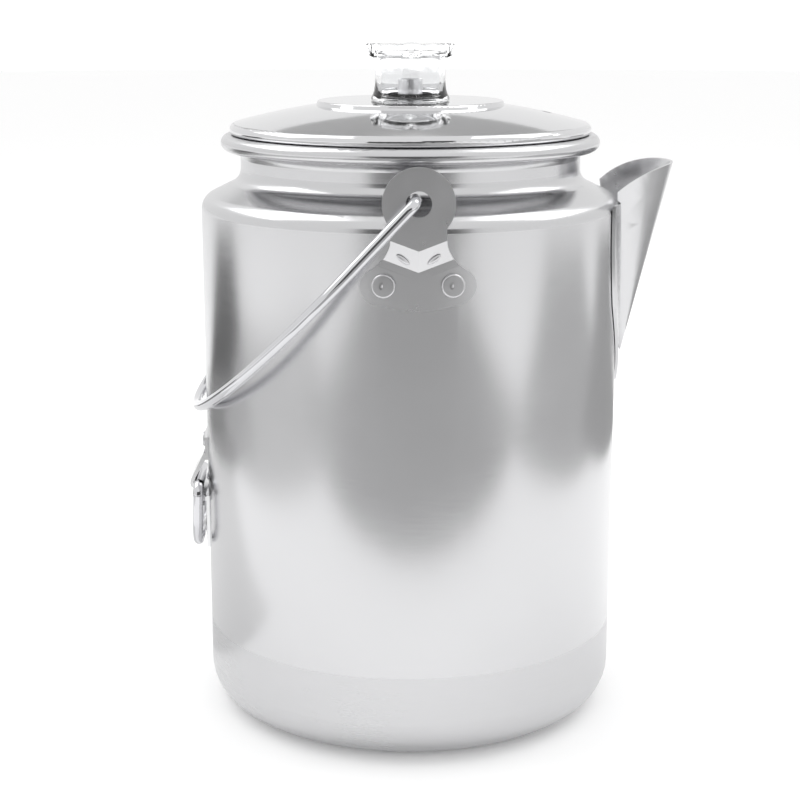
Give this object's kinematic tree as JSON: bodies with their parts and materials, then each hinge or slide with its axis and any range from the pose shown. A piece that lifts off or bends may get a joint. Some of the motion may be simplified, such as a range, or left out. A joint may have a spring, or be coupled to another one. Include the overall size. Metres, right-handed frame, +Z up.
{
  "type": "coffee percolator",
  "caption": "Stovetop coffee percolator: spun aluminium pot with wire bail, shield spout, tilt ring, lift-off lid with clear knob, and inner pump and basket.",
  "frame": {"origin": "centre of the pot's flat base, on the surface it stands on", "axes": "+Z up through the knob, +X towards the spout, Y along the bail's pivots"},
  "size_m": [0.2061, 0.1952, 0.284],
  "materials": {
    "satin_aluminium": "brushed satin",
    "polished_aluminium": "polished",
    "chromed_wire": "polished",
    "clear_plastic": "clear gloss",
    "dull_aluminium": "mill",
    "stainless": "satin"
  },
  "bodies": {
    "pot": {"pot_body": "satin_aluminium", "spout": "satin_aluminium", "ear_near": "polished_aluminium", "ear_far": "polished_aluminium", "ear_rivets": "polished_aluminium", "tilt_bracket": "polished_aluminium", "bracket_rivets": "polished_aluminium"},
    "bail": {"bail": "chromed_wire"},
    "tilt_ring": {"tilt_ring": "chromed_wire"},
    "lid": {"lid": "polished_aluminium"},
    "knob": {"knob": "clear_plastic"},
    "pump": {"pump_stem": "dull_aluminium", "stem_collar": "dull_aluminium", "pump_foot": "dull_aluminium", "valve_cage": "dull_aluminium"},
    "valve": {"valve_disc": "stainless"},
    "basket": {"basket": "dull_aluminium", "basket_sleeve": "dull_aluminium"},
    "spreader": {"spreader": "dull_aluminium"}
  },
  "joints": [
    {"name": "bail_swing", "type": "hinge", "parent": "pot", "child": "bail", "pos_m": [-0.0011, 0, 0.2286], "axis": [0, 1, 0], "range_deg": [0, 271]},
    {"name": "ring_swing", "type": "hinge", "parent": "pot", "child": "tilt_ring", "pos_m": [-0.0913, 0, 0.0978], "axis": [0, 1, 0], "range_deg": [0, 150]},
    {"name": "lid_lift", "type": "slide", "parent": "pot", "child": "lid", "axis": [0, 0, 1], "range_m": [0, 0.45]},
    {"name": "knob_twist", "type": "hinge", "parent": "lid", "child": "knob", "pos_m": [0, 0, 0.2602], "axis": [0, 0, 1], "range_deg": [0, 60]},
    {"name": "pump_lift", "type": "slide", "parent": "pot", "child": "pump", "axis": [0, 0, 1], "range_m": [0, 0.2565]},
    {"name": "valve_lift", "type": "slide", "parent": "pump", "child": "valve", "axis": [0, 0, 1], "range_m": [0, 0.0015]},
    {"name": "basket_lift", "type": "slide", "parent": "pump", "child": "basket", "axis": [0, 0, 1], "range_m": [0, 0.1215]},
    {"name": "spreader_lift", "type": "slide", "parent": "basket", "child": "spreader", "axis": [0, 0, 1], "range_m": [0, 0.054]}
  ],
  "couplings": [
    {"joint": "pump_lift", "follows": "lid_lift", "ratio": 0.57},
    {"joint": "basket_lift", "follows": "lid_lift", "ratio": 0.27},
    {"joint": "spreader_lift", "follows": "lid_lift", "ratio": 0.12}
  ]
}
